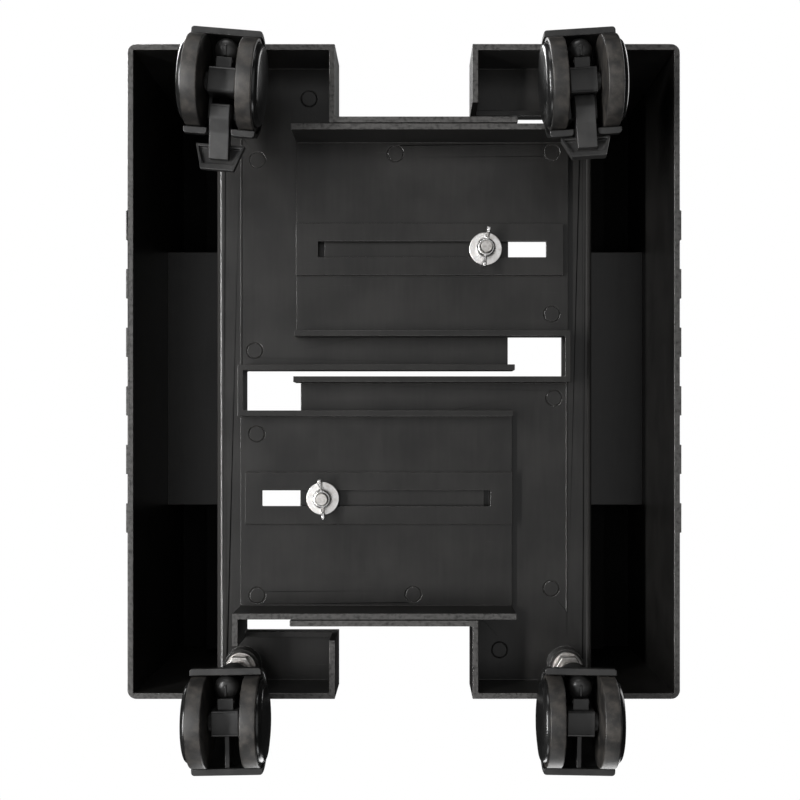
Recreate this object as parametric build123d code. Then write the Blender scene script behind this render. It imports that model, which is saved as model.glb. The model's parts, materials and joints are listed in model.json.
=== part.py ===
from build123d import *
from math import cos, radians, sin, sqrt
import os

# Adjustable rolling stand for a desktop computer tower.
# Two identical moulded trays slide together to set the width and are clamped by two wing nuts.
# +X is to the right, +Y to the rear, +Z up, and the floor is at z = 0.  Sizes are millimetres.

# Casters
wheel_radius = 20.0
wheel_width = 7.1           # tread
wheel_gap = 16.2            # between the two wheels of one caster
wheel_edge = 0.4            # chamfer at the edges of the tread
wheel_web = 2.4
wheel_rim = 1.8             # wall between the tread and the cap
wheel_hub_radius = 5.0
wheel_hub_recess = 2.0      # the hub stops this short of the rim
caster_trail = 14.6         # swivel axis to axle
caster_x = 77.9             # swivel axes from the tray centre
caster_y = 140.4
rest_yaw = {"front_left": 4.7, "front_right": -3.6, "rear_left": -1.0, "rear_right": 1.0}
rest_lever = {"front_left": 0.0, "front_right": -20.0}   # the right brake rests pressed

# Heights
rim_z = 45.0                # lower edge of skirts and side walls
deck_top = 76.7
wall = 2.7
deck_under = deck_top - wall
slide_gap = 0.5             # between the deck of one tray and the tongue of the other
tongue_top = deck_under - slide_gap
tongue_under = tongue_top - wall
channel_top = tongue_under
channel_under = channel_top - wall
short_lip_z = 61.3
pocket_floor_top = 125.8
shoulder_top = 140.3
tray_top = 167.5

# Tray outline in plan, for the left tray; the right one is the same part turned half a turn
tray_half_length = 150.9
outer_x = -127.3
inner_x = -88.4             # face of the side wall towards the computer
shoulder_x = -104.2         # face of the upper side wall
post_half_length = 142.3    # the shoulder stops at a full-width post at each end
pocket_half_length = 63.8
arm_end_x = -31.7
rear_arm_y = 124.0
arm_lip_z = 69.0            # the rear arm has only a shallow lip beside the slot
deck_end_x = 50.2
deck_outer_y = -117.5
deck_inner_y = -1.5
tongue_end_x = 52.1
tongue_inner_y = 17.7
tongue_outer_y = 114.3
lip_end_x = 52.6
root_x = -76.4              # open ends of the window and of the slot beside the tongue
channel_y = (47.3, 72.3)
slot_y = 59.8
slot_x = (-68.3, 41.3)
slot_width = 7.6
bolt_band_x = -38.5
bolt_band_width = 19.0
bolt_x = 39.0
edge_round = 3.0
bead_size = 0.45
corner_round = 4.0
bar_pitch = 27.0            # raised bars on the outer face
bar_width = 13.5
bar_height = 0.7
bar_count = 6
pin_mark_radius = 4.0       # ejector pin marks
pin_mark_depth = 0.2
pin_mark_line = 0.4
pin_marks = [(-71.2, -103.9), (-72.6, -11.5), (-71.2, 28.9), (-71.0, 106.8), (4.3, 106.3), (-46.2, -133.7)]
deck_pin_mark = (2.9, -26.5)

# Clamp hardware, M6
bolt_radius = 3.0
bolt_head_radius = 6.6
bolt_head_height = 2.3
bolt_seat_z = deck_top - 2.5
bolt_end_z = 58.0
bolt_end_chamfer = 0.5
clamp_washer_radius = 7.9
clamp_washer_thickness = 1.6
clamp_washer_round = 0.35
washer_bore_play = 0.3
wing_span = 20.2
wing_thickness = 2.0
nut_hub_radius = 4.9
nut_hub_taper = 0.8
nut_hub_height = 6.4
nut_wing_drop = 3.6
rest_nut_turn = {"left": 97, "right": 84}

# Caster stem, M8
boss_radius = 8.5
boss_z = 66.0
stem_radius = 3.9
stem_top = 75.4
stem_chamfer = 0.6
collar_radius = 6.0
collar_z = (43.6, 45.6)
stem_pin_radius = 4.0
stem_pin_z = 21.0
stem_pin_chamfer = 0.8
ring_groove = (38.0, 39.4)
ring_groove_radius = 3.3
ring_split = 0.9            # half the gap in the spring ring
nut_flats = 13.0
nut_z = (70.0, 74.9)
nut_pocket_flats = 13.4
jam_nut_flats = 12.0
jam_nut_z = (58.6, 64.5)
stem_washer_radius = 7.5
stem_washer_chamfer = 0.4
stem_hole_radius = 4.2

# Caster hood
hood_inner_radius = 20.9
hood_outer_radius = 22.8
hood_half_width = 15.8
hood_edge_reach = 23.5
hood_edge_height = 3.2
hood_edge_round = 1.1
spine_width = 7.2
spine_z = 17.0
socket_radius = 5.4
socket_z = (18.0, 36.8)
socket_round = 3.2
socket_boss_radius = 6.9
socket_boss_z = (32.0, 43.2)
socket_end_play = 0.5
axle_block = (12.0, 11.5, 12.6)
axle_block_z = 14.4
axle_block_round = 1.5
rib_half = 1.1
axle_radius = 2.5
axle_half_length = 14.0
axle_chamfer = 0.4

# Wheel caps
cap_radius = 17.9
cap_proud = 3.8             # beyond the tread
cap_shoulder = 2.4          # where the rounded edge of the dome ends, beyond the tread
cap_edge_round = 1.9
cap_flat_radius = 2.0
cap_inside = 0.4
cap_skirt = 1.4
cap_skirt_depth = 4.5

# Brake, by distance behind the axle and height above the floor
cheek_inner = 4.8
cheek_outer = 6.7
cheek_y = (3.0, 15.5)
cheek_z = 24.5
brake_pin_radius = 1.5
brake_pin_end_play = 0.2
brake_pivot = (11.0, 29.6)
lever_barrel = 3.3
strap_width = 9.0
strap_under = [(9.4, 21.0), (10.2, 16.8), (11.8, 15.8), (16.5, 16.8), (22.0, 19.6), (28.0, 21.6),
               (33.0, 22.6)]
strap_over = [(33.0, 24.6), (25.0, 27.0), (19.5, 24.4), (15.0, 22.6), (14.0, 29.0), (11.0, 29.6)]
pedal_start = (26.0, 28.6)
pedal_end = (38.2, 24.8)
pedal_widths = (22.0, 14.8)
pedal_depth = 3.4
pedal_skin = 1.6
brake_slot_width = 10.6
brake_slot_y = 13.0
brake_slot_z = 32.5

# Fits
running_fit = 0.05
loose_fit = 0.1
clear_of_wheel = 0.35
cap_far = 25.0              # beyond the caps, for cutters along the axle
cut_margin = 1.0            # how far a cutter passes a surface


def slab(x, y, z):
    """A box between two values on each axis."""
    low, high = (min(x), min(y), min(z)), (max(x), max(y), max(z))
    size = [b - a for a, b in zip(low, high)]
    return Pos(*low) * Box(*size, align=(Align.MIN, Align.MIN, Align.MIN))


def post(radius, z, x=0.0, y=0.0):
    """An upright cylinder between two heights."""
    low, high = min(z), max(z)
    return Pos(x, y, low) * Cylinder(radius, high - low, align=(Align.CENTER, Align.CENTER, Align.MIN))


def hexagon(flats, z, x=0.0, y=0.0):
    """An upright hexagonal prism, by its width across flats."""
    outline = RegularPolygon(flats / 2, 6, major_radius=False)
    return Pos(x, y, min(z)) * extrude(outline, amount=max(z) - min(z))


def rod(radius, x, y=0.0, z=0.0):
    """A cylinder along X between two values of x."""
    low, high = min(x), max(x)
    return Pos((low + high) / 2, y, z) * Rot(0, 90, 0) * Cylinder(radius, high - low)


# ---- trays ----


def side_wall():
    """Hollow side wall, open below, with the stepped inner face and the storage pocket."""
    whole_y = (-tray_half_length, tray_half_length)
    outline = Pos((outer_x + inner_x) / 2, 0) * Rectangle(inner_x - outer_x, 2 * tray_half_length)
    outer_corners = outline.vertices().group_by(Axis.X)[0]
    body = Pos(0, 0, rim_z) * extrude(fillet(outer_corners, corner_round), amount=tray_top - rim_z)
    post_y = (-post_half_length, post_half_length)
    body -= slab((shoulder_x, inner_x + cut_margin), post_y, (shoulder_top, tray_top + cut_margin))
    cavity_x = (outer_x + wall, inner_x - wall)
    cavity_y = (-tray_half_length + wall, tray_half_length - wall)
    cavity = slab(cavity_x, cavity_y, (rim_z - cut_margin, shoulder_top - wall))
    cavity += slab((outer_x + wall, shoulder_x - wall), cavity_y, (rim_z, tray_top - wall))
    for end in (-1, 1):
        end_y = (end * (post_half_length + wall), end * (tray_half_length - wall))
        cavity += slab(cavity_x, end_y, (rim_z, tray_top - wall))
    pocket_wall_y = pocket_half_length + wall
    pocket_block_z = (pocket_floor_top - wall, tray_top)
    cavity -= slab(cavity_x, (-pocket_wall_y, pocket_wall_y), pocket_block_z)
    body -= cavity
    body -= slab((inner_x - wall, inner_x + cut_margin), whole_y, (rim_z - cut_margin, deck_under))
    pocket_y = (-pocket_half_length, pocket_half_length)
    body -= slab(cavity_x, pocket_y, (pocket_floor_top, tray_top + cut_margin))
    for place in range(bar_count):
        bar_y = (place - (bar_count - 1) / 2) * bar_pitch
        bar_range = (bar_y - bar_width / 2, bar_y + bar_width / 2)
        body += slab((outer_x - bar_height, outer_x + cut_margin), bar_range, (rim_z, tray_top))
    return body


def deck_plates():
    """Deck, arms and the root strip beside the side wall, all at one level."""
    level = (deck_under, deck_top)
    root_start = inner_x - wall
    plates = slab((root_start, root_x), (-tray_half_length, tray_half_length), level)
    plates += slab((root_start, arm_end_x), (-tray_half_length, deck_outer_y + wall), level)
    plates += slab((root_start, arm_end_x), (rear_arm_y, tray_half_length), level)
    plates += slab((root_x - wall, deck_end_x), (deck_outer_y, deck_inner_y), level)
    return plates


def step_bead():
    """Fine bead where the deck meets the root strip."""
    bead_x = (root_x - wall, root_x - wall + bead_size)
    return slab(bead_x, (deck_outer_y + wall, deck_inner_y - wall), (deck_under - bead_size, deck_under))


def skirts():
    """Tall skirts round the arms and along the outer edge of the deck, down to the rim."""
    tall = (rim_z, deck_under)
    end_y = tray_half_length - wall
    arm_x = (arm_end_x - wall, arm_end_x)
    ribs = slab((inner_x - wall, arm_end_x), (-tray_half_length, -end_y), tall)
    ribs += slab((inner_x - wall, arm_end_x), (end_y, tray_half_length), tall)
    ribs += slab(arm_x, (-tray_half_length, deck_outer_y + wall), tall)
    ribs += slab(arm_x, (rear_arm_y, tray_half_length), tall)
    ribs += slab((arm_x[0], lip_end_x), (deck_outer_y, deck_outer_y + wall), (rim_z, deck_top))
    ribs += slab((root_x - wall, arm_end_x), (rear_arm_y, rear_arm_y + wall), (arm_lip_z, deck_under))
    ribs += slab((root_x - wall, root_x), (tongue_outer_y - wall, rear_arm_y + wall), tall)
    return ribs


def short_lips():
    """Short lips along the inner edges of deck and tongue, joined round the window's closed end."""
    low = (short_lip_z, deck_under)
    inner_lip_y = (deck_inner_y - wall, deck_inner_y)
    lips = slab((root_x - wall, lip_end_x), inner_lip_y, (short_lip_z, deck_top))
    lips += slab((root_x - wall, root_x), (deck_inner_y - wall, tongue_inner_y + wall), low)
    return lips


def tongue():
    """Tongue one plate lower than the deck, with the lowered channel and the clamp slot."""
    body = slab((root_x - wall, tongue_end_x), (tongue_inner_y, tongue_outer_y), (tongue_under, tongue_top))
    body += slab((root_x - wall, root_x), (tongue_inner_y, tongue_outer_y), (tongue_under, deck_under))
    inner_lip_y = (tongue_inner_y, tongue_inner_y + wall)
    body += slab((root_x - wall, tongue_end_x), inner_lip_y, (short_lip_z, tongue_top))
    tall = (rim_z, tongue_top)
    body += slab((root_x - wall, tongue_end_x), (tongue_outer_y - wall, tongue_outer_y), tall)
    body += slab((root_x, tongue_end_x), channel_y, (channel_under, tongue_top))
    trough_y = (channel_y[0] + wall, channel_y[1] - wall)
    body -= slab((root_x + wall, tongue_end_x + cut_margin), trough_y, (channel_top, tongue_top + cut_margin))
    slot_range = (slot_y - slot_width / 2, slot_y + slot_width / 2)
    body -= slab(slot_x, slot_range, (channel_under - cut_margin, channel_top + cut_margin))
    return body


def bolt_band():
    """Depressed band in the deck that holds the carriage bolt's head flush and runs in the channel."""
    centre_y = -slot_y
    half = bolt_band_width / 2
    band_y = (centre_y - half, centre_y + half)
    recess_y = (band_y[0] + wall, band_y[1] - wall)
    outside = slab((bolt_band_x, deck_end_x), band_y, (bolt_seat_z - wall, deck_under))
    inside_x = (bolt_band_x + wall, deck_end_x + cut_margin)
    inside = slab(inside_x, recess_y, (bolt_seat_z, deck_top + cut_margin))
    square = 2 * bolt_radius + loose_fit
    hole = Pos(bolt_x, centre_y, bolt_seat_z) * Box(square, square, 3 * wall)
    return outside, inside + hole


def tray_round_offs():
    """Rounded lower edge where the deck turns up into the side wall."""
    edge_x = inner_x - wall
    half = tray_half_length - wall
    round_z = deck_under + edge_round
    corner_x = (edge_x - cut_margin, edge_x + edge_round)
    corner = slab(corner_x, (-half, half), (deck_under - cut_margin, round_z))
    along = Rot(90, 0, 0) * Cylinder(edge_round, 2 * tray_half_length)
    keep = Pos(edge_x + edge_round, 0, round_z) * along
    beyond = slab((edge_x - cut_margin, edge_x), (-half, half), (deck_under, round_z))
    return corner - keep - beyond


def make_tray():
    """The left tray, about the tray centre."""
    body = side_wall() + deck_plates() + step_bead() + skirts() + short_lips() + tongue()
    band, recess = bolt_band()
    body += band
    body -= recess
    for end in (-1, 1):
        place = {"x": -caster_x, "y": end * caster_y}
        body += post(boss_radius, (boss_z, deck_under), **place)
        body -= post(stem_hole_radius, (boss_z - cut_margin, deck_top + cut_margin), **place)
        body -= hexagon(nut_pocket_flats, (nut_z[0], deck_top + cut_margin), **place)
    body -= tray_round_offs()
    marks = [(x, y, deck_under if y < 0 or x < root_x else tongue_under) for x, y in pin_marks]
    marks.append((*deck_pin_mark, deck_under))
    for x, y, level in marks:
        ring_z = (level - cut_margin, level + pin_mark_depth)
        inner = post(pin_mark_radius - pin_mark_line, ring_z, x, y)
        body -= post(pin_mark_radius, ring_z, x, y) - inner
    return body


# ---- clamp ----


def clamp_bolt():
    """Carriage bolt, head up, square neck in the deck's band."""
    centre_y = -slot_y
    head = post(bolt_head_radius, (bolt_seat_z, bolt_seat_z + bolt_head_height), bolt_x, centre_y)
    head = fillet(head.edges().group_by(Axis.Z)[-1], bolt_head_height * 0.7)
    neck_height = wall - loose_fit
    neck_place = Pos(bolt_x, centre_y, bolt_seat_z - neck_height / 2)
    neck = neck_place * Box(2 * bolt_radius, 2 * bolt_radius, neck_height)
    shank = post(bolt_radius, (bolt_end_z, bolt_seat_z), bolt_x, centre_y)
    shank = chamfer(shank.edges().group_by(Axis.Z)[0], bolt_end_chamfer)
    return head + neck + shank


def clamp_washer():
    """Large plain washer under the wing nut, against the tongue's channel."""
    z = (channel_under - clamp_washer_thickness, channel_under)
    washer = post(clamp_washer_radius, z, bolt_x, -slot_y)
    washer = fillet(washer.edges().filter_by(GeomType.CIRCLE), clamp_washer_round)
    bore_z = (z[0] - cut_margin, z[1] + cut_margin)
    return washer - post(bolt_radius + washer_bore_play, bore_z, bolt_x, -slot_y)


def wing_nut():
    """Wing nut, wings pointing down, about its own axis."""
    top = channel_under - clamp_washer_thickness
    low = top - nut_hub_height
    half = wing_span / 2
    root = nut_hub_radius * nut_hub_taper / 2
    tip = low - nut_wing_drop
    hub_align = (Align.CENTER, Align.CENTER, Align.MIN)
    hub = Cone(nut_hub_radius * nut_hub_taper, nut_hub_radius, nut_hub_height, align=hub_align)
    side = Polyline((root, top - 1.2), (nut_hub_radius - 0.3, top - 1.2), (half - 1.0, low + 1.6),
                    (half, tip + 2.4), (half - 1.6, tip), (half - 4.0, tip + 0.8),
                    (nut_hub_radius - 0.9, low + 0.9), (root, low + 0.9), (root, top - 1.2))
    wing = extrude(Plane.XZ * make_face(side), amount=wing_thickness / 2, both=True)
    nut = Pos(0, 0, low) * hub + wing + Rot(0, 0, 180) * wing
    return nut - post(bolt_radius + running_fit, (tip - cut_margin, top + cut_margin))


# ---- casters, about the swivel axis with the axle behind it ----


def caster_stem():
    """Threaded stem, round collar and the plain pin that the hood turns on."""
    stem = post(stem_radius, (collar_z[1], stem_top))
    stem = chamfer(stem.edges().group_by(Axis.Z)[-1], stem_chamfer)
    stem += post(collar_radius, collar_z)
    pin = post(stem_pin_radius, (stem_pin_z, collar_z[0]))
    stem += chamfer(pin.edges().group_by(Axis.Z)[0], stem_pin_chamfer)
    groove = post(collar_radius, ring_groove) - post(ring_groove_radius, ring_groove)
    return stem - groove


def grip_ring():
    """Split spring ring in the stem's groove, which holds the hood on."""
    z = (ring_groove[0] + loose_fit, ring_groove[1] - loose_fit)
    ring = post(stem_pin_radius - running_fit, z) - post(ring_groove_radius + running_fit, z)
    return ring - slab((-ring_split, ring_split), (0, collar_radius), z)


def bored(body, z):
    """A washer or nut with the clearance bore of the stem."""
    return body - post(stem_radius + running_fit, (z[0] - cut_margin, z[1] + cut_margin))


def stem_washer():
    """Flange washer between the jam nut and the tray's boss."""
    z = (jam_nut_z[1], boss_z)
    washer = post(stem_washer_radius, z)
    washer = chamfer(washer.edges().group_by(Axis.Z)[0], stem_washer_chamfer)
    return bored(washer, z)


def hood_shell():
    """Half-round guard over the treads, with thickened edges at axle height."""
    reach = (-hood_half_width, hood_half_width)
    shell = rod(hood_outer_radius, reach, caster_trail, wheel_radius)
    shell -= rod(hood_inner_radius, (-cap_far, cap_far), caster_trail, wheel_radius)
    shell -= slab(reach, (-cap_far * 3, cap_far * 3), (-cap_far, wheel_radius))
    for end in (-1, 1):
        inner_edge = hood_inner_radius + clear_of_wheel / 2
        edge_y = (caster_trail + end * inner_edge, caster_trail + end * hood_edge_reach)
        edge_z = (wheel_radius - hood_edge_height / 2, wheel_radius + hood_edge_height / 2)
        bar = slab(reach, edge_y, edge_z)
        shell += fillet(bar.edges().filter_by(Axis.X), hood_edge_round)
    return shell


def hood_core(braked):
    """Socket, spine and axle block between the wheels, and the cheeks of a brake lever."""
    socket = post(socket_radius, socket_z)
    core = fillet(socket.edges().group_by(Axis.Z)[0], socket_round)
    core += post(socket_boss_radius, socket_boss_z)
    middle = (hood_inner_radius + hood_outer_radius) / 2
    inside = rod(middle, (-hood_half_width, hood_half_width), caster_trail, wheel_radius)
    half = spine_width / 2
    core += slab((-half, half), (stem_pin_radius, caster_trail), (spine_z, socket_boss_z[1])) & inside
    width, length, height = axle_block
    block_y = (caster_trail - length / 2, caster_trail + length / 2)
    block = slab((-width / 2, width / 2), block_y, (axle_block_z, axle_block_z + height))
    core += fillet(block.edges().filter_by(Axis.X), axle_block_round)
    if braked:
        cheek_range = (caster_trail + cheek_y[0], caster_trail + cheek_y[1])
        for end in (-1, 1):
            cheek_x = (end * cheek_inner, end * cheek_outer)
            core += slab(cheek_x, cheek_range, (cheek_z, socket_boss_z[1])) & inside
    else:
        rib_y = (caster_trail, caster_trail + middle)
        core += slab((-rib_half, rib_half), rib_y, (wheel_radius, socket_boss_z[1])) & inside
    return core


def caster_hood(braked):
    """Hood moulding of one caster."""
    body = hood_shell() + hood_core(braked)
    body -= post(stem_pin_radius + running_fit, (stem_pin_z - socket_end_play, collar_z[1]))
    body -= rod(axle_radius + running_fit, (-cap_far, cap_far), caster_trail, wheel_radius)
    if braked:
        half = brake_slot_width / 2
        slot_y_range = (caster_trail + brake_slot_y, caster_trail + hood_edge_reach + cut_margin)
        body -= slab((-half, half), slot_y_range, (axle_block_z, brake_slot_z))
        pivot_y, pivot_z = caster_trail + brake_pivot[0], brake_pivot[1]
        body -= rod(brake_pin_radius + running_fit, (-wheel_gap / 2, wheel_gap / 2), pivot_y, pivot_z)
    return body


def caster_axle():
    """Steel axle through the block and both wheels."""
    axle = rod(axle_radius, (-axle_half_length, axle_half_length), caster_trail, wheel_radius)
    return chamfer(axle.edges().filter_by(GeomType.CIRCLE), axle_chamfer)


def placed_on_axle(profile, side):
    """The solid turned from a profile in the XY plane, on the left or right wheel's side."""
    solid = Pos(0, caster_trail, wheel_radius) * revolve(make_face(profile), Axis.X)
    return solid if side > 0 else mirror(solid, Plane.YZ)


def wheel(side):
    """Moulded wheel, hollow towards its outer side."""
    inner = wheel_gap / 2
    outer = inner + wheel_width
    bore = axle_radius + running_fit
    hub_end = outer - wheel_hub_recess
    rim_inside = wheel_radius - wheel_rim
    edge = wheel_radius - wheel_edge
    profile = Polyline((inner, bore), (hub_end, bore), (hub_end, wheel_hub_radius),
                       (inner + wheel_web, wheel_hub_radius), (inner + wheel_web, rim_inside),
                       (outer, rim_inside), (outer, edge), (outer - wheel_edge, wheel_radius),
                       (inner + wheel_edge, wheel_radius), (inner, edge), (inner, bore))
    return placed_on_axle(profile, side)


def wheel_cap(side):
    """Domed cap snapped into the outer side of a wheel."""
    outer = wheel_gap / 2 + wheel_width
    inside, face = outer + cap_inside, outer + cap_proud
    skirt_end, skirt_inside = outer - cap_skirt_depth, cap_radius - cap_skirt
    shoulder, shoulder_radius = outer + cap_shoulder, cap_radius - cap_edge_round
    start = shoulder - cap_edge_round
    bulge = cap_edge_round * sqrt(0.5)
    outline = Polyline((inside, 0), (inside, skirt_inside), (skirt_end, skirt_inside),
                       (skirt_end, cap_radius), (start, cap_radius))
    edge_middle = (start + bulge, shoulder_radius + bulge)
    edge = ThreePointArc((start, cap_radius), edge_middle, (shoulder, shoulder_radius))
    dome_middle = (face - 0.35 * (cap_proud - cap_shoulder), 0.6 * shoulder_radius)
    dome = ThreePointArc((shoulder, shoulder_radius), dome_middle, (face, cap_flat_radius))
    closing = Polyline((face, cap_flat_radius), (face, 0), (inside, 0))
    return placed_on_axle(outline + edge + dome + closing, side)


def pedal():
    """Tapered foot pedal, hollow below."""
    (start, start_z), (end, end_z) = pedal_start, pedal_end
    solids = []
    for inset, drop in ((0.0, 0.0), (pedal_skin, pedal_skin)):
        first, last = caster_trail + start + inset, caster_trail + end - inset
        side = Polyline((first, start_z - drop), (last, end_z - drop), (last, end_z - pedal_depth - drop),
                        (first, start_z - pedal_depth - drop), (first, start_z - drop))
        wide, narrow = pedal_widths[0] / 2 - inset, pedal_widths[1] / 2 - inset
        plan = Polyline((-wide, first), (wide, first), (narrow, last), (-narrow, last), (-wide, first))
        block = extrude(Plane.YZ * make_face(side), amount=pedal_widths[0], both=True)
        solids.append(block & extrude(make_face(plan), amount=2 * start_z))
    return solids[0] - solids[1]


def brake_lever():
    """Strap from the pivot through the hood's slot to the foot pedal."""
    pivot_y, pivot_z = caster_trail + brake_pivot[0], brake_pivot[1]
    line = [(caster_trail + y, z) for y, z in strap_under + strap_over]
    half = strap_width / 2
    strap = extrude(Plane.YZ * make_face(Polyline(*line, line[0])), amount=half, both=True)
    lever = strap + rod(lever_barrel, (-half, half), pivot_y, pivot_z) + pedal()
    return lever - rod(brake_pin_radius + running_fit, (-wheel_gap, wheel_gap), pivot_y, pivot_z)


def brake_pin():
    """Steel pin that the lever turns on."""
    half = cheek_outer - brake_pin_end_play
    return rod(brake_pin_radius, (-half, half), caster_trail + brake_pivot[0], brake_pivot[1])


# ---- assembly ----

half_turn = Rot(0, 0, 180)
nodes = {}

nodes["left_tray"] = make_tray()
nodes["left_clamp_bolt"] = clamp_bolt()
nodes["left_clamp_washer"] = clamp_washer()
nodes["left_wing_nut"] = Pos(bolt_x, -slot_y, 0) * Rot(0, 0, rest_nut_turn["left"]) * wing_nut()
nodes["right_tray"] = half_turn * nodes["left_tray"]
nodes["right_clamp_bolt"] = half_turn * nodes["left_clamp_bolt"]
nodes["right_clamp_washer"] = half_turn * nodes["left_clamp_washer"]
nodes["right_wing_nut"] = Pos(-bolt_x, slot_y, 0) * Rot(0, 0, rest_nut_turn["right"]) * wing_nut()

for corner, yaw in rest_yaw.items():
    braked = corner in rest_lever
    side_x = caster_x if "right" in corner else -caster_x
    side_y = -caster_y if "front" in corner else caster_y
    fixed = Pos(side_x, side_y, 0)
    turned = fixed * Rot(0, 0, yaw)
    nodes[f"{corner}_stem"] = fixed * caster_stem()
    nodes[f"{corner}_grip_ring"] = fixed * grip_ring()
    nodes[f"{corner}_stem_washer"] = fixed * stem_washer()
    nodes[f"{corner}_jam_nut"] = fixed * bored(hexagon(jam_nut_flats, jam_nut_z), jam_nut_z)
    nodes[f"{corner}_stem_nut"] = fixed * bored(hexagon(nut_flats, nut_z), nut_z)
    nodes[f"{corner}_hood"] = turned * caster_hood(braked)
    nodes[f"{corner}_axle"] = turned * caster_axle()
    for name, side in (("left", -1), ("right", 1)):
        nodes[f"{corner}_wheel_{name}"] = turned * wheel(side)
        nodes[f"{corner}_cap_{name}"] = turned * wheel_cap(side)
    if braked:
        pivot = Pos(0, caster_trail + brake_pivot[0], brake_pivot[1])
        pressed = pivot * Rot(rest_lever[corner], 0, 0) * pivot.inverse()
        nodes[f"{corner}_brake_lever"] = turned * pressed * brake_lever()
        nodes[f"{corner}_brake_pin"] = turned * brake_pin()

# The rear casters trail beyond the trays, so the whole is moved forward to centre it on the origin
rear_yaw = radians(abs(rest_yaw["rear_left"]))
rear_reach = (caster_trail + hood_edge_reach) * cos(rear_yaw) + hood_half_width * sin(rear_yaw)
centring = Pos(0, (tray_half_length - caster_y - rear_reach) / 2, 0)

os.makedirs("parts", exist_ok=True)
for name, solid in nodes.items():
    export_step(centring * solid, f"parts/{name}.step")
print(f"{len(nodes)} nodes, moved by {centring.position.Y:.4f} mm in Y")
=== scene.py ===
import bmesh
import bpy
import json
import math
from mathutils import Matrix, Vector


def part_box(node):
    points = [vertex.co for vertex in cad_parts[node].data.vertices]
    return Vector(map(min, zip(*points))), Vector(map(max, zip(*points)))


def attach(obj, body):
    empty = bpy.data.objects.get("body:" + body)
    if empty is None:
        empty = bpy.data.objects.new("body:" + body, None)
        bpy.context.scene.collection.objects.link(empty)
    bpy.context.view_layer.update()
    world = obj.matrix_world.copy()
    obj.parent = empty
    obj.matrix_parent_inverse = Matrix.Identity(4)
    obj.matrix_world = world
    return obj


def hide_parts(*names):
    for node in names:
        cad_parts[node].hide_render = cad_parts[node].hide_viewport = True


# A rolling stand for a computer tower, seen from below: two black moulded trays on four
# hooded casters, with the zinc hardware that joins them.

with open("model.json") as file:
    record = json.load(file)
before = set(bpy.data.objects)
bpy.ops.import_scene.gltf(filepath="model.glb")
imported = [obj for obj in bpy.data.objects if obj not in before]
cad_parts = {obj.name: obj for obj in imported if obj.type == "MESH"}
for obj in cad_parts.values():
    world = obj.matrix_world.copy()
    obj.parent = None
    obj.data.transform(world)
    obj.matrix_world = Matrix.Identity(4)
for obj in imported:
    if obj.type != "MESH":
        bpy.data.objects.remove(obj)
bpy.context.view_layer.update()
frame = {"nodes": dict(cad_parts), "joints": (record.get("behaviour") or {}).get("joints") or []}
mm = 0.001
joints = {joint["name"]: joint for joint in frame["joints"]}
corners = [name.replace("_swivel", "") for name in joints if name.endswith("_swivel")]


# Shader building

class Signal:
    # one socket of a node tree, so that shader maths reads as sums
    def __init__(self, bench, socket):
        self.bench = bench
        self.socket = socket

    def maths(self, operation, a, b):
        return self.bench.add("ShaderNodeMath", {"operation": operation}, {0: a, 1: b})

    def __add__(self, other):
        return self.maths("ADD", self, other)

    def __radd__(self, other):
        return self.maths("ADD", other, self)

    def __sub__(self, other):
        return self.maths("SUBTRACT", self, other)

    def __rsub__(self, other):
        return self.maths("SUBTRACT", other, self)

    def __mul__(self, other):
        return self.maths("MULTIPLY", self, other)

    def __rmul__(self, other):
        return self.maths("MULTIPLY", other, self)

    def __abs__(self):
        return self.maths("ABSOLUTE", self, 0)


class NodeBench:
    # a node tree and the one way to add a node to it
    def __init__(self, tree):
        self.tree = tree

    def add(self, nodeType, settings, sockets, output=0):
        node = self.tree.nodes.new(nodeType)
        for name, value in settings.items():
            setattr(node, name, value)
        for key, value in sockets.items():
            self.feed(node.inputs[key], value)
        return Signal(self, node.outputs[output])

    def feed(self, socket, value):
        if isinstance(value, Signal):
            self.tree.links.new(value.socket, socket)
        else:
            socket.default_value = value


class Paint(NodeBench):
    # a material and the patterns it is mixed from
    def __init__(self, name, **fixed):
        self.material = bpy.data.materials.new(name)
        self.material.use_nodes = True
        super().__init__(self.material.node_tree)
        self.shader = self.tree.nodes["Principled BSDF"]
        self.use(**fixed)

    def place(self, stretch=(1, 1, 1)):
        # object coordinates in millimetres, stretched where a pattern runs one way
        here = self.add("ShaderNodeTexCoord", {}, {}, "Object")
        scale = tuple(value / mm for value in stretch)
        return self.add("ShaderNodeVectorMath", {"operation": "MULTIPLY"}, {0: here, 1: scale})

    def part(self, vector, axis):
        return self.add("ShaderNodeSeparateXYZ", {}, {0: vector}, axis)

    def noise(self, vector, scale, detail=3, roughness=0.55):
        sockets = {"Vector": vector, "Scale": scale, "Detail": detail, "Roughness": roughness}
        return self.add("ShaderNodeTexNoise", {}, sockets, "Fac")

    def ramp(self, value, low, high, start=0.0, end=1.0):
        # start below low, end above high, and a smooth step between
        sockets = {"Value": value, "From Min": low, "From Max": high, "To Min": start, "To Max": end}
        return self.add("ShaderNodeMapRange", {"interpolation_type": "SMOOTHSTEP"}, sockets)

    def blendColours(self, mask, one, other):
        settings = {"data_type": "RGBA"}
        return self.add("ShaderNodeMix", settings, {"Factor": mask, 6: one, 7: other}, 2)

    def bump(self, height, depth):
        return self.add("ShaderNodeBump", {}, {"Height": height, "Distance": depth * mm})

    def use(self, **sockets):
        # Base_Color=... feeds the Base Color socket, and so on
        for name, value in sockets.items():
            self.feed(self.shader.inputs[name.replace("_", " ")], value)
        return self.material

    def normal(self):
        return self.add("ShaderNodeNewGeometry", {}, {}, "Normal")


def grey(value, warmth=0.0):
    return (value * (1 + warmth), value, value * (1 - warmth), 1)


# Finishes

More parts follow.
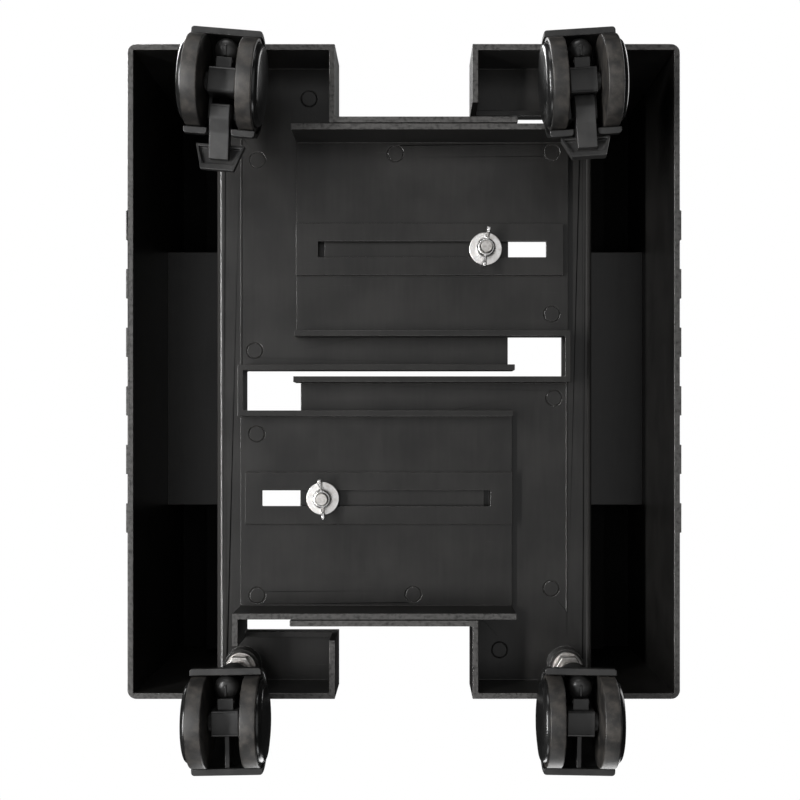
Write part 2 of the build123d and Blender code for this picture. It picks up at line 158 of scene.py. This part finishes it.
trayFinish = {
    # roof is the colour of the painted shade on the roofs of the hollow walls
    "dark": grey(0.009, 0.04), "pale": grey(0.018, 0.05), "worn": grey(0.085, 0.03), "roof": grey(0.003),
    "roughness": 0.30, "roughnessSpread": 0.12, "smudgeDull": 0.08, "roofDull": 0.7, "edgePolish": 0.18,
    "cloudScale": 0.028, "smudgeScale": 0.011, "flowScale": 0.5, "scratchScale": 0.35, "wearScale": 0.6,
    "grainScale": 2.4, "grainDepth": 0.05,
    # worn is the colour of real rim wear and scratches, and also of the painted highlight on rounded edges
    "rimWear": 0.8, "scratchWear": 0.25, "edgeWear": 0.35,
    "rimHeight": 45.0, "roofHeight": 129.0,
}


def trayPlastic():
    finish = trayFinish
    paint = Paint("trayPlastic", IOR=1.41)
    here = paint.place()
    height = paint.part(here, "Z")
    clouds = paint.noise(here, finish["cloudScale"], 5, 0.6)
    smudges = paint.ramp(paint.noise(here, finish["smudgeScale"], 2), 0.5, 0.75)
    grain = paint.noise(here, finish["grainScale"], 4, 0.7)
    flow = paint.noise(paint.place((1, 0.08, 1)), finish["flowScale"], 3)
    scratches = paint.noise(paint.place((0.1, 4, 1)), finish["scratchScale"], 5, 0.7)
    scratches = paint.ramp(scratches, 0.66, 0.74)
    rim = paint.ramp(height, finish["rimHeight"] + 0.25, finish["rimHeight"] + 0.6, 1, 0)
    # the roofs of the hollow walls get painted shade, a darker colour, and a higher roughness
    normal = paint.normal()
    facing = paint.part(normal, "Z")
    level = paint.ramp(height, finish["roofHeight"] - 2, finish["roofHeight"] + 2)
    roof = level * paint.ramp(facing, -0.6, -0.2, 1, 0)
    # rounded edges get a painted highlight, lighter towards the worn colour, and a lower roughness
    leaning = abs(paint.part(normal, "X") * facing) + abs(paint.part(normal, "Y") * facing)
    edge = paint.ramp(leaning, 0.08, 0.25)
    tone = paint.ramp(clouds + 0.35 * flow, 0.45, 0.95)
    colour = paint.blendColours(tone, finish["dark"], finish["pale"])
    rubbed = rim * paint.ramp(paint.noise(here, finish["wearScale"], 4), 0.25, 0.6) * finish["rimWear"]
    # real rim wear and scratches, plus the painted highlight on rounded edges
    wearAndHighlight = rubbed + scratches * finish["scratchWear"] + edge * finish["edgeWear"]
    colour = paint.blendColours(wearAndHighlight, colour, finish["worn"])
    # painted shade on the roofs of the hollow walls
    colour = paint.blendColours(roof, colour, finish["roof"])
    roughness = finish["roughness"] + finish["roughnessSpread"] * (clouds - 0.5)
    roughness = roughness + smudges * finish["smudgeDull"] + roof * finish["roofDull"]
    roughness = roughness - edge * finish["edgePolish"]
    relief = paint.bump(grain + 0.4 * flow - 0.5 * scratches, finish["grainDepth"])
    return paint.use(Base_Color=colour, Roughness=roughness, Normal=relief)


nylonFinishes = {
    "hoodNylon": {
        "dark": grey(0.013), "pale": grey(0.024, 0.02), "roughness": 0.34, "grain": 0.03, "dust": 0.15,
    },
    "leverNylon": {
        "dark": grey(0.020), "pale": grey(0.036, 0.02), "roughness": 0.36, "grain": 0.04, "dust": 0.2,
    },
    "capNylon": {
        "dark": grey(0.010), "pale": grey(0.018), "roughness": 0.24, "grain": 0.015, "dust": 0.1,
    },
}
nylonDust = grey(0.10, 0.08)


def blackNylon(name):
    finish = nylonFinishes[name]
    paint = Paint(name, IOR=1.53)
    here = paint.place()
    clouds = paint.noise(here, 0.12, 4)
    grain = paint.noise(here, 3.2, 4, 0.65)
    dust = paint.ramp(paint.noise(here, 0.9, 6, 0.75), 0.55, 0.8)
    scuffs = paint.ramp(paint.noise(paint.place((3, 0.2, 0.6)), 0.6, 5, 0.7), 0.66, 0.72)
    colour = paint.blendColours(paint.ramp(clouds, 0.3, 0.7), finish["dark"], finish["pale"])
    colour = paint.blendColours(dust * finish["dust"] + scuffs * 0.2, colour, nylonDust)
    roughness = finish["roughness"] + 0.12 * (clouds - 0.5) + 0.25 * dust * finish["dust"]
    relief = paint.bump(grain - scuffs, finish["grain"])
    return paint.use(Base_Color=colour, Roughness=roughness, Normal=relief)


treadFinish = {"dark": grey(0.016, 0.04), "dusty": grey(0.070, 0.12), "roughness": 0.48, "grain": 0.06}


def treadNylon():
    # black nylon greyed by dust and fine specks
    paint = Paint("treadNylon", IOR=1.52)
    here = paint.place()
    clouds = paint.noise(here, 0.16, 5, 0.6)
    specks = paint.ramp(paint.noise(here, 1.8, 6, 0.8), 0.52, 0.72)
    grain = paint.noise(here, 2.6, 5, 0.7)
    worn = paint.ramp(clouds + 0.25 * specks, 0.35, 0.85)
    colour = paint.blendColours(worn, treadFinish["dark"], treadFinish["dusty"])
    roughness = treadFinish["roughness"] + 0.2 * (clouds - 0.5) + 0.12 * specks
    relief = paint.bump(grain, treadFinish["grain"])
    return paint.use(Base_Color=colour, Roughness=roughness, Normal=relief)


metalFinishes = {
    "zincPlate": {"bright": grey(0.66, 0.03), "dull": grey(0.42, 0.05), "roughness": 0.34},
    "washerZinc": {"bright": grey(0.95, 0.01), "dull": grey(0.80, 0.04), "roughness": 0.30},
    "wingZinc": {"bright": grey(0.95, 0.0), "dull": grey(0.72, 0.03), "roughness": 0.26},
    "axleSteel": {"bright": grey(0.50, 0.0), "dull": grey(0.34, 0.02), "roughness": 0.30},
}
platingGrain = 0.03


def platedMetal(name):
    finish = metalFinishes[name]
    paint = Paint(name, Metallic=1.0)
    here = paint.place()
    bloom = paint.noise(here, 0.5, 5, 0.6)
    pits = paint.noise(here, 6.0, 4, 0.7)
    rubs = paint.ramp(paint.noise(paint.place((5, 0.6, 5)), 0.9, 4), 0.55, 0.72)
    colour = paint.blendColours(paint.ramp(bloom, 0.35, 0.7), finish["bright"], finish["dull"])
    roughness = finish["roughness"] + 0.22 * (bloom - 0.5) + 0.08 * rubs
    relief = paint.bump(pits + 0.5 * rubs, platingGrain)
    return paint.use(Base_Color=colour, Roughness=roughness, Normal=relief)


floorFinish = {"dark": grey(0.78), "pale": grey(0.82), "cloudScale": 0.004}


def floorPaint():
    # pale above, clear from below, so that the stand can be seen through it
    paint = Paint("floorPaint")
    tone = paint.noise(paint.place(), floorFinish["cloudScale"], 3)
    colour = paint.blendColours(paint.ramp(tone, 0.3, 0.7), floorFinish["dark"], floorFinish["pale"])
    surface = paint.add("ShaderNodeBsdfDiffuse", {}, {"Color": colour})
    clear = paint.add("ShaderNodeBsdfTransparent", {}, {})
    under = paint.add("ShaderNodeNewGeometry", {}, {}, "Backfacing")
    mixed = paint.add("ShaderNodeMixShader", {}, {0: under, 1: surface, 2: clear})
    paint.feed(paint.tree.nodes["Material Output"].inputs["Surface"], mixed)
    return paint.material


# Mesh building

sharpAngle = 35  # edges that turn by more are kept crisp, or softened


def roundedLoop(points, steps=5):
    # a closed outline of (x, y, corner radius), with each corner turned into an arc
    outline = []
    for index, (x, y, radius) in enumerate(points):
        here = Vector((x, y))
        before = Vector(points[index - 1][:2]) - here
        after = Vector(points[(index + 1) % len(points)][:2]) - here
        if radius == 0:
            outline.append((x, y))
            continue
        half = before.angle(after) / 2
        reach = radius / math.tan(half)
        centre = here + (before.normalized() + after.normalized()).normalized() * radius / math.sin(half)
        start = here + before.normalized() * reach - centre
        turn = start.angle_signed(here + after.normalized() * reach - centre)
        for step in range(steps + 1):
            spin = Matrix.Rotation(-turn * step / steps, 2)
            outline.append(tuple(centre + spin @ start))
    return outline


def lathe(profile, steps, hollow=True):
    # turns an outline of (along, radius) round the X axis; a solid one ends in two flat caps
    mesh = bmesh.new()
    turns = [2 * math.pi * step / steps for step in range(steps)]
    rings = []
    for along, radius in profile:
        rings.append([mesh.verts.new((along, radius * math.cos(t), radius * math.sin(t))) for t in turns])
    following = rings[1:] + rings[:1] if hollow else rings[1:]
    for one, other in zip(rings, following):
        for step in range(steps):
            mesh.faces.new((one[step - 1], one[step], other[step], other[step - 1]))
    if not hollow:
        mesh.faces.new(rings[0])
        mesh.faces.new(rings[-1])
    return mesh


def slab(outline, low, high):
    # an outline in XY raised between two heights
    mesh = bmesh.new()
    lower = [mesh.verts.new((x, y, low)) for x, y in outline]
    upper = [mesh.verts.new((x, y, high)) for x, y in outline]
    mesh.faces.new(lower)
    mesh.faces.new(upper)
    for step in range(len(outline)):
        mesh.faces.new((lower[step - 1], lower[step], upper[step], upper[step - 1]))
    return mesh


def thread(radius, pitch, low, high, depth, steps=40, perPitch=6):
    # a screw thread along Z, flat at both ends
    mesh = bmesh.new()
    count = round((high - low) / pitch * perPitch)
    rings = []
    for level in range(count + 1):
        z = low + (high - low) * level / count
        fade = min(1, (z - low) / pitch, (high - z) / pitch)
        ring = []
        for step in range(steps):
            phase = (z / pitch + step / steps) % 1
            tooth = abs(2 * phase - 1)
            r = radius - depth * (1 - tooth * fade)
            turn = 2 * math.pi * step / steps
            ring.append(mesh.verts.new((r * math.cos(turn), r * math.sin(turn), z)))
        rings.append(ring)
    for one, other in zip(rings, rings[1:]):
        for step in range(steps):
            mesh.faces.new((one[step - 1], one[step], other[step], other[step - 1]))
    mesh.faces.new(rings[0])
    mesh.faces.new(rings[-1])
    return mesh


def joined(*meshes):
    whole = bmesh.new()
    for mesh in meshes:
        data = bpy.data.meshes.new("shape")
        mesh.to_mesh(data)
        whole.from_mesh(data)
        mesh.free()
        bpy.data.meshes.remove(data)
    return whole


def turned(mesh, matrix):
    bmesh.ops.transform(mesh, matrix=matrix, verts=mesh.verts)
    return mesh


def soften(piece, width, segments=2, miter="MITER_ARC"):
    bevel = piece.modifiers.new("Soft edges", "BEVEL")
    bevel.width = width * mm
    bevel.segments = segments
    bevel.limit_method = "ANGLE"
    bevel.angle_limit = math.radians(sharpAngle)
    bevel.use_clamp_overlap = False
    bevel.harden_normals = True
    bevel.miter_outer = miter
    return piece


def makePiece(name, mesh, material, body, nodes, place):
    # millimetres in, a piece in the frame out that stands in for CAD nodes
    bmesh.ops.transform(mesh, matrix=place @ Matrix.Scale(mm, 4), verts=mesh.verts)
    bmesh.ops.recalc_face_normals(mesh, faces=mesh.faces)
    for face in mesh.faces:
        face.smooth = True
    for edge in mesh.edges:
        edge.smooth = len(edge.link_faces) == 2 and edge.calc_face_angle(0) < math.radians(sharpAngle)
    data = bpy.data.meshes.new(name)
    mesh.to_mesh(data)
    mesh.free()
    piece = bpy.data.objects.new(name, data)
    bpy.context.scene.collection.objects.link(piece)
    data.materials.append(material)
    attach(piece, body)
    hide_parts(*nodes)
    return piece


def casterPlace(corner):
    # swivel axis on the floor, X along the axle and Y towards it
    swivel = Vector(joints[corner + "_swivel"]["pos_m"])
    across = Vector(joints[corner + "_left_spin"]["axis"]).normalized()
    up = Vector((0, 0, 1))
    place = Matrix((across, up.cross(across), up)).transposed().to_4x4()
    place.translation = (swivel.x, swivel.y, 0)
    return place


# Camera, lights and floor

cameraSetup = {"place": (5.2, 12.1, -505.0), "lens": 53.73, "shift": (-0.01875, 0.035)}


def makeCamera():
    camera = bpy.data.objects.new("camera", bpy.data.cameras.new("camera"))
    camera.data.lens = cameraSetup["lens"]
    camera.data.sensor_width = 36
    camera.data.shift_x, camera.data.shift_y = cameraSetup["shift"]
    camera.data.clip_start = 0.01
    camera.location = Vector(cameraSetup["place"]) * mm
    camera.rotation_euler = (math.pi, 0, 0)  # straight up
    bpy.context.scene.collection.objects.link(camera)
    bpy.context.scene.camera = camera


lamps = {
    "softBelow": {"place": (0.00, 0.00, -1.10), "size": 1.30, "watts": 3.8},
    "keyBelow": {"place": (-0.86, -0.02, -0.98), "size": 1.10, "height": 0.10, "watts": 23},
    "headBelow": {"place": (-0.20, -1.20, -0.36), "size": 0.50, "watts": 2.5},
    "footBelow": {"place": (0.00, 1.30, -0.34), "size": 0.50, "watts": 2.5},
    "keyAbove": {"place": (-0.9, -0.9, 1.3), "size": 0.8, "watts": 28},
    "fillAbove": {"place": (1.1, -0.5, 1.0), "size": 1.0, "watts": 12},
    "backAbove": {"place": (0.2, 1.3, 0.9), "size": 0.8, "watts": 10},
}
worldSetup = {"background": 1.0, "light": 0.010}
floorSetup = {"radius": 3.0, "height": -0.0002}


def makeLights():
    for name, setup in lamps.items():
        light = bpy.data.lights.new(name, "AREA")
        light.energy = setup["watts"]
        light.shape = "RECTANGLE"
        light.size = setup["size"]
        light.size_y = setup.get("height", setup["size"])
        lamp = bpy.data.objects.new(name, light)
        lamp.location = setup["place"]
        lamp.rotation_euler = (-Vector(setup["place"])).to_track_quat("-Z", "Y").to_euler()
        bpy.context.scene.collection.objects.link(lamp)


def makeWorld():
    world = bpy.data.worlds.new("studio")
    bpy.context.scene.world = world
    world.use_nodes = True
    bench = NodeBench(world.node_tree)
    seen = bench.add("ShaderNodeLightPath", {}, {}, "Is Camera Ray")
    sockets = {"Value": seen, "To Min": worldSetup["light"], "To Max": worldSetup["background"]}
    background = world.node_tree.nodes["Background"]
    bench.feed(background.inputs["Color"], grey(1))
    bench.feed(background.inputs["Strength"], bench.add("ShaderNodeMapRange", {}, sockets))
    bpy.context.scene.view_settings.view_transform = "Standard"


def makeFloor():
    mesh = bmesh.new()
    bmesh.ops.create_circle(mesh, cap_ends=True, segments=96, radius=floorSetup["radius"])
    data = bpy.data.meshes.new("floor")
    mesh.to_mesh(data)
    mesh.free()
    floor = bpy.data.objects.new("floor", data)
    floor.location.z = floorSetup["height"]
    data.materials.append(floorPaint())
    bpy.context.scene.collection.objects.link(floor)
    floor.visible_shadow = False
    floor.visible_diffuse = False
    floor.visible_glossy = False


# Carried-over CAD nodes

weldReach = 0.01


def finishNode(node, material, edge):
    piece = frame["nodes"][node]
    piece.data.materials.clear()
    piece.data.materials.append(material)
    weld = piece.modifiers.new("Weld", "WELD")
    weld.merge_threshold = weldReach * mm
    if edge:
        soften(piece, edge)


# Clamp and stems

wingTurn = {"left": 97, "right": 84}  # degrees at rest
clampShape = {
    "seat": 74.2, "neckEnd": 71.6, "end": 58.0, "radius": 3.0, "pitch": 1.0, "depth": 0.34, "neckHalf": 2.98,
    "head": [(0.0, 6.55), (0.6, 6.6), (1.2, 6.2), (1.8, 5.0), (2.15, 3.4), (2.3, 1.4)],
}
wingShape = {
    "seat": 66.5, "thickness": 1.9, "soft": 0.5,
    "hub": [(0.05, 3.1, 0.2), (0.05, 4.85, 0.5), (3.6, 4.75, 1.6), (6.3, 4.05, 0.8), (6.3, 3.1, 0.3)],
    "wing": [(2.6, 1.3, 0), (4.6, 1.3, 0), (8.6, 4.1, 2.4), (10.0, 7.4, 1.3), (9.3, 9.9, 1.2),
             (6.9, 9.4, 1.2), (5.2, 6.2, 2.0), (2.6, 5.4, 0)],
}
stemShape = {
    "thread": (45.5, 75.4), "radius": 3.88, "pitch": 1.25, "depth": 0.45,
    "collar": [(43.6, 4.2), (43.6, 5.6), (43.9, 5.95), (45.3, 5.95), (45.6, 5.6), (45.6, 3.0)],
    "pin": [(21.0, 3.1), (21.8, 3.97), (38.0, 3.97), (38.0, 3.3), (39.4, 3.3), (39.4, 3.97), (43.7, 3.97)],
}
upright = Matrix.Rotation(math.radians(-90), 4, "Y")
downright = Matrix.Rotation(math.radians(90), 4, "Y")


def standing(node):
    # on the floor, under the middle of a CAD node
    low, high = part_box(node)
    return Matrix.Translation(((low[0] + high[0]) / 2, (low[1] + high[1]) / 2, 0))


def makeBolt(side, material):
    s = clampShape
    head = turned(lathe(s["head"], 48, hollow=False), Matrix.Translation((0, 0, s["seat"])) @ upright)
    half = s["neckHalf"]
    neck = slab([(-half, -half), (half, -half), (half, half), (-half, half)], s["neckEnd"], s["seat"])
    shank = thread(s["radius"], s["pitch"], s["end"], s["neckEnd"], s["depth"])
    node = f"{side}_clamp_bolt"
    bolt = joined(head, neck, shank)
    makePiece(f"{side}_bolt", bolt, material, f"{side}_half", [node], standing(node))


def makeWingNut(side, material):
    s = wingShape
    half = s["thickness"] / 2
    parts = [turned(lathe(roundedLoop(s["hub"]), 48), downright)]
    hang = Matrix.Rotation(math.radians(-90), 4, "X")
    for turn in (0, math.pi):
        wing = slab(roundedLoop(s["wing"], 4), -half, half)
        parts.append(turned(wing, Matrix.Rotation(turn, 4, "Z") @ hang))
    node = f"{side}_wing_nut"
    spin = Matrix.Rotation(math.radians(wingTurn[side]), 4, "Z")
    place = standing(node) @ Matrix.Translation((0, 0, s["seat"] * mm)) @ spin
    piece = makePiece(f"{side}_wings", joined(*parts), material, f"{side}_nut", [node], place)
    soften(piece, s["soft"], 3)


def makeStem(corner, material):
    s = stemShape
    low, high = s["thread"]
    screw = thread(s["radius"], s["pitch"], low, high, s["depth"])
    collar = turned(lathe(s["collar"], 48, hollow=False), upright)
    pin = turned(lathe(s["pin"], 48, hollow=False), upright)
    body = ("left" if "left" in corner else "right") + "_half"
    node = f"{corner}_stem"
    stud = joined(screw, collar, pin)
    makePiece(f"{corner}_stud", stud, material, body, [node], standing(node))


# Casters

wheelShape = {
    "inner": 8.1, "outer": 15.2, "radius": 20.0, "bore": 2.55, "shoulder": 0.7, "lip": 0.4,
    "rim": 18.2, "hub": 5.0, "web": 2.4, "hubEnd": 13.2,
}
capShape = {
    "radius": 17.9, "inside": 15.6, "skirt": 10.7, "skirtInside": 16.5, "shoulder": 17.6, "round": 2.3,
    "crown": 19.0, "middle": 1.2, "rings": 8,
}


def makeWheel(corner, side, material, place):
    s = wheelShape
    web = s["inner"] + s["web"]
    profile = roundedLoop([
        (s["inner"], s["bore"], 0.3), (s["inner"], s["radius"], s["shoulder"]),
        (s["outer"], s["radius"], s["shoulder"]), (s["outer"], s["rim"], s["lip"]), (web, s["rim"], 0.8),
        (web, s["hub"], 0.6), (s["hubEnd"], s["hub"], 0.3), (s["hubEnd"], s["bore"], 0.3)])
    mesh = lathe(profile, 96)
    body, node = f"{corner}_{side}_wheel", f"{corner}_wheel_{side}"
    makePiece(f"{corner}_{side}_tyre", mesh, material, body, [node], place)


def makeCap(corner, side, material, place):
    # a flat dome with a rounded edge, and a skirt that grips inside the rim
    s = capShape
    flat = s["radius"] - s["round"]
    profile = [(s["inside"], s["middle"]), (s["inside"], s["skirtInside"]), (s["skirt"], s["skirtInside"]),
               (s["skirt"], s["radius"])]
    for step in range(s["rings"]):
        turn = math.pi / 2 * step / s["rings"]
        along = s["shoulder"] - s["round"] * (1 - math.sin(turn))
        profile.append((along, flat + s["round"] * math.cos(turn)))
    for step in range(s["rings"] + 1):
        radius = flat + (s["middle"] - flat) * step / s["rings"]
        along = s["shoulder"] + (s["crown"] - s["shoulder"]) * (1 - (radius / flat) ** 2)
        profile.append((along, radius))
    mesh = lathe(profile, 96, hollow=False)
    body, node = f"{corner}_{side}_wheel", f"{corner}_cap_{side}"
    makePiece(f"{corner}_{side}_dome", mesh, material, body, [node], place)


def wheelPlace(corner, side):
    # on the axle, with the right wheel's outer side along +X and the left one's along -X
    place = casterPlace(corner)
    axle = place.inverted() @ Vector(joints[f"{corner}_{side}_spin"]["pos_m"])
    lift = Matrix.Translation((0, axle.y, axle.z))
    flip = Matrix.Rotation(math.pi, 4, "Z") if side == "left" else Matrix.Identity(4)
    return place @ lift @ flip


hoodShape = {
    "trail": 14.6, "axleHeight": 20.0, "inner": 20.9, "outer": 22.8, "half": 15.8,
    "bar": (20.45, 23.5), "barHeight": 3.2, "barCorner": 1.5, "slotHalf": 5.3, "slotAngle": 35,
    "socket": [(20.5, 0.8), (20.5, 4.05), (43.2, 4.05), (43.2, 6.5), (42.9, 6.9), (33.0, 6.9), (31.5, 5.5),
               (22.6, 5.4), (20.9, 5.2), (19.4, 4.4), (18.4, 3.1), (18.0, 1.4)],
    "spineHalf": 3.55, "spine": [(4.1, 17.0, 0), (14.6, 17.0, 0), (14.6, 41.4, 0), (4.1, 38.6, 0)],
    "blockHalf": 6.0, "block": [(8.85, 14.4, 1.6), (20.35, 14.4, 1.6), (20.35, 27.0, 1.6), (8.85, 27.0, 1.6)],
    "boss": [(5.5, 2.6), (5.5, 4.3), (7.6, 4.1), (7.9, 3.8), (7.9, 2.6)],
    "collarHalf": 3.95, "collar": [(5.0, 17.6, 0.3), (6.4, 17.6, 0.3), (6.4, 24.0, 0), (5.0, 24.0, 0)],
    "crestHalf": 0.65,
    "crest": [(-3.6, 19.3, 0.4), (-1.2, 17.6, 0.8), (3.2, 17.6, 0.8), (4.6, 20.5, 0), (-3.6, 21.5, 0)],
    "ribHalf": 1.1, "ribInner": 5.0, "cheekSides": (4.85, 6.7), "soft": 0.35,
    "cheek": [(17.6, 24.5, 0.8), (30.1, 24.5, 1.6), (30.1, 34.4, 0), (17.6, 41.2, 0)],
}
leverShape = {
    "rest": {"front_left": 0, "front_right": -20}, "half": 4.5, "soft": 0.5,
    "strap": [(9.5, 21.4, 0.8), (10.0, 15.9, 1.9), (16.4, 16.5, 6.0), (22.4, 19.6, 9.0), (33.2, 22.7, 0.5),
              (33.2, 25.0, 0.5), (25.0, 27.0, 4.0), (19.4, 24.4, 4.0), (15.0, 22.6, 2.5), (14.4, 31.4, 2.6),
              (8.2, 31.4, 2.6), (8.6, 25.6, 2.5)],
    "start": (26.0, 28.6), "end": (38.2, 24.8), "wide": 11.0, "narrow": 7.4, "skin": 1.5,
    "farSkin": 0.6, "depth": 3.4, "endFlange": 3.0,
}
sideways = Matrix(((0, 0, 1, 0), (1, 0, 0, 0), (0, 1, 0, 0), (0, 0, 0, 1)))


def plate(outline, low, high, steps=4):
    # an outline in YZ, with corner radii, between two values of X
    return turned(slab(roundedLoop(outline, steps), low, high), sideways)


def arcBand(low, high, start, end, inner, outer):
    # part of a ring round the axle, between two values of X and two angles from the rear
    s = hoodShape
    steps = 40
    turns = [math.radians(start + (end - start) * step / steps) for step in range(steps + 1)]
    ring = []
    for radius, order in ((outer, turns), (inner, turns[::-1])):
        ring += [(s["trail"] + radius * math.cos(t), s["axleHeight"] + radius * math.sin(t)) for t in order]
    return turned(slab(ring, low, high), sideways)


def hoodBar(low, high, end):
    # the thick edge of the hood, at its front (-1) or rear (1) end
    s = hoodShape
    near, far = (s["trail"] + end * reach for reach in s["bar"])
    corner = s["barCorner"]
    bottom = s["axleHeight"] - s["barHeight"] / 2
    outline = [(low, near, 0.3), (low, far, corner), (high, far, corner), (high, near, 0.3)]
    return slab(roundedLoop(outline), bottom, bottom + s["barHeight"])


def makeHood(corner, material):
    s = hoodShape
    half, slot = s["half"], s["slotHalf"]
    braked = corner + "_brake" in joints
    pieces = [turned(lathe(s["socket"], 48, hollow=False), upright)]
    for name in ("spine", "block", "collar", "crest"):
        pieces.append(plate(s[name], -s[name + "Half"], s[name + "Half"]))
    for turn in (0, math.pi):
        boss = turned(lathe(s["boss"], 40), Matrix.Rotation(turn, 4, "Z"))
        pieces.append(turned(boss, Matrix.Translation((0, s["trail"], s["axleHeight"]))))
    pieces.append(hoodBar(-half, half, -1))
    ring = (s["inner"], s["outer"])
    if braked:
        pieces += [arcBand(-half, -slot, 0, 180, *ring), arcBand(slot, half, 0, 180, *ring)]
        pieces.append(arcBand(-slot, slot, s["slotAngle"], 180, *ring))
        pieces += [hoodBar(-half, -slot, 1), hoodBar(slot, half, 1)]
        near, far = s["cheekSides"]
        pieces += [plate(s["cheek"], -far, -near), plate(s["cheek"], near, far)]
    else:
        pieces += [arcBand(-half, half, 0, 180, *ring), hoodBar(-half, half, 1)]
        pieces.append(arcBand(-s["ribHalf"], s["ribHalf"], 0, 90, s["ribInner"], s["inner"] + 0.4))
    body, node, place = f"{corner}_caster", f"{corner}_hood", casterPlace(corner)
    piece = makePiece(f"{corner}_guard", joined(*pieces), material, body, [node], place)
    soften(piece, s["soft"], miter="MITER_SHARP")


def pedalShell():
    # a tapered tray, open below, with a broad far edge
    s = leverShape
    (start, startHeight), (end, endHeight) = s["start"], s["end"]
    drop = (startHeight - endHeight) / (end - start)
    mesh = bmesh.new()
    rings = []
    # sides in, ends in, down: the outer wall's foot and top, then the hollow's roof and foot
    insets = ((0, 0, s["depth"]), (0, 0, 0), (1, 1, s["skin"]), (1, 1, s["depth"]))
    for side, ends, down in insets:
        first = start + ends * s["skin"]
        last = end - ends * s["endFlange"]
        wide, narrow = s["wide"] - side * s["skin"], s["narrow"] - side * s["farSkin"]
        ring = []
        for x, y in ((-wide, first), (wide, first), (narrow, last), (-narrow, last)):
            ring.append(mesh.verts.new((x, y, startHeight - drop * (y - start) - down)))
        rings.append(ring)
    for one, other in ((rings[0], rings[1]), (rings[2], rings[3]), (rings[3], rings[0])):
        for step in range(4):
            mesh.faces.new((one[step - 1], one[step], other[step], other[step - 1]))
    mesh.faces.new(rings[1])
    mesh.faces.new(rings[2])
    return mesh


def makeLever(corner, material):
    s = leverShape
    strap = plate(s["strap"], -s["half"], s["half"], 6)
    shape = turned(joined(strap, pedalShell()), Matrix.Translation((0, hoodShape["trail"], 0)))
    place = casterPlace(corner)
    pivot = Matrix.Translation(place.inverted() @ Vector(joints[corner + "_brake"]["pos_m"]))
    tip = pivot @ Matrix.Rotation(math.radians(s["rest"][corner]), 4, "X") @ pivot.inverted()
    body, node = f"{corner}_lever", f"{corner}_brake_lever"
    piece = makePiece(f"{corner}_pedal", shape, material, body, [node], place @ tip)
    soften(piece, s["soft"], 3, miter="MITER_SHARP")


print("camera, lights and floor")
makeCamera()
makeLights()
makeWorld()
makeFloor()

print("finishes")
trayPaint = trayPlastic()
hoodPaint = blackNylon("hoodNylon")
leverPaint = blackNylon("leverNylon")
capPaint = blackNylon("capNylon")
treadPaint = treadNylon()
zincPaint = platedMetal("zincPlate")
washerPaint = platedMetal("washerZinc")
wingPaint = platedMetal("wingZinc")
steelPaint = platedMetal("axleSteel")

print("trays and fixed hardware")
for side in ("left", "right"):
    finishNode(f"{side}_tray", trayPaint, 0.35)
    finishNode(f"{side}_clamp_washer", washerPaint, 0)
    makeBolt(side, zincPaint)
    makeWingNut(side, wingPaint)

print("casters")
for corner in corners:
    makeHood(corner, hoodPaint)
    finishNode(f"{corner}_axle", steelPaint, 0)
    finishNode(f"{corner}_jam_nut", zincPaint, 0.5)
    makeStem(corner, zincPaint)
    finishNode(f"{corner}_stem_washer", zincPaint, 0)
    finishNode(f"{corner}_stem_nut", zincPaint, 0.3)
    finishNode(f"{corner}_grip_ring", steelPaint, 0)
    for side in ("left", "right"):
        place = wheelPlace(corner, side)
        makeWheel(corner, side, treadPaint, place)
        makeCap(corner, side, capPaint, place)
    if corner + "_brake" in joints:
        makeLever(corner, leverPaint)
        finishNode(f"{corner}_brake_pin", steelPaint, 0)
